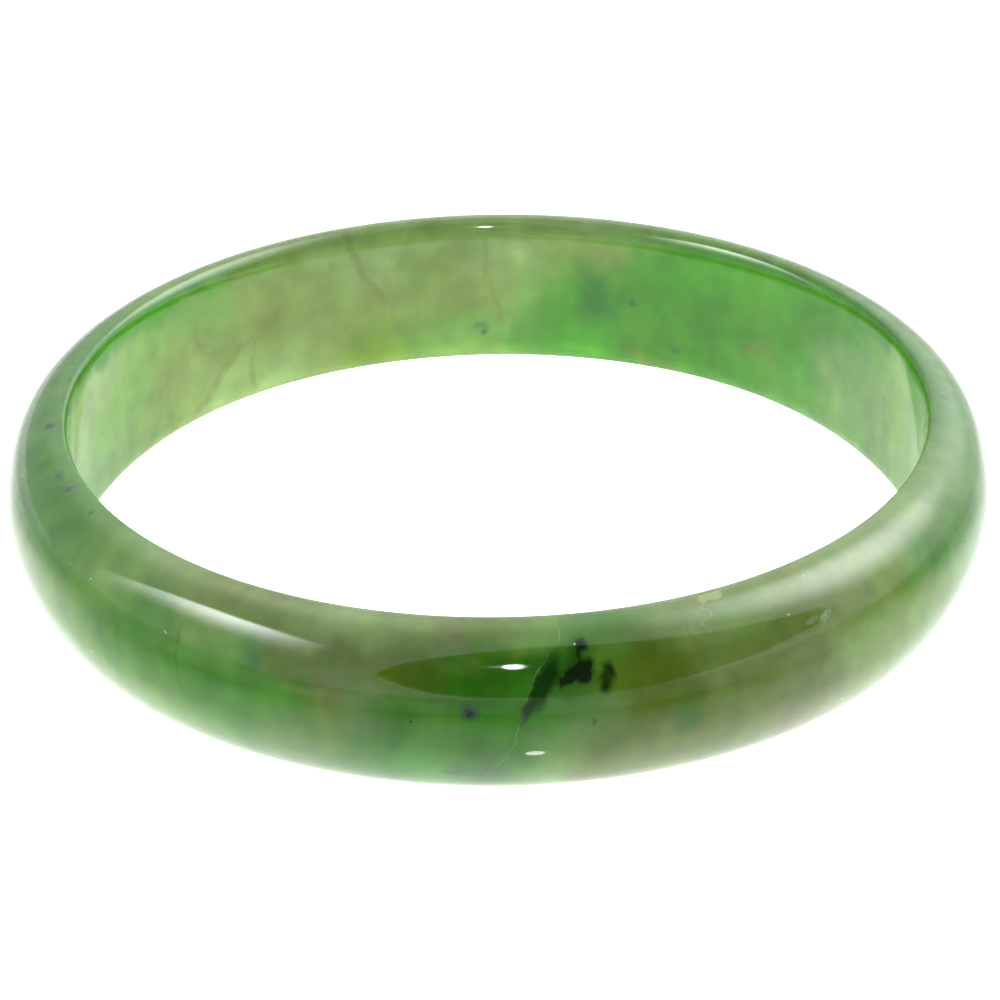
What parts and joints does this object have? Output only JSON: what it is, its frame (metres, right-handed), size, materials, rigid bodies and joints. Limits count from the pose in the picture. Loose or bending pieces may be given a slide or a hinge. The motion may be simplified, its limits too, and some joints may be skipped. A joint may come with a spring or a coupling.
{
  "type": "bangle bracelet",
  "caption": "Rigid closed bangle bracelet of polished green stone: round opening, flat inner wall, softly rounded corners and a domed outside, worn by slipping it over the hand.",
  "frame": {"origin": "on the axis of the wrist opening, at the height of the surface that the bangle lies on", "axes": "+Z along the axis of the wrist opening, upwards as the bangle lies on a table; -Y is the side with the cluster of dark grains in the stone; +X to the right seen from that side"},
  "size_m": [0.0694, 0.0694, 0.012],
  "materials": {
    "jade": "polished, translucent, mottled emerald and olive, with a few dark mineral grains"
  },
  "bodies": {
    "root": {"jade_ring": "jade"}
  },
  "joints": []
}
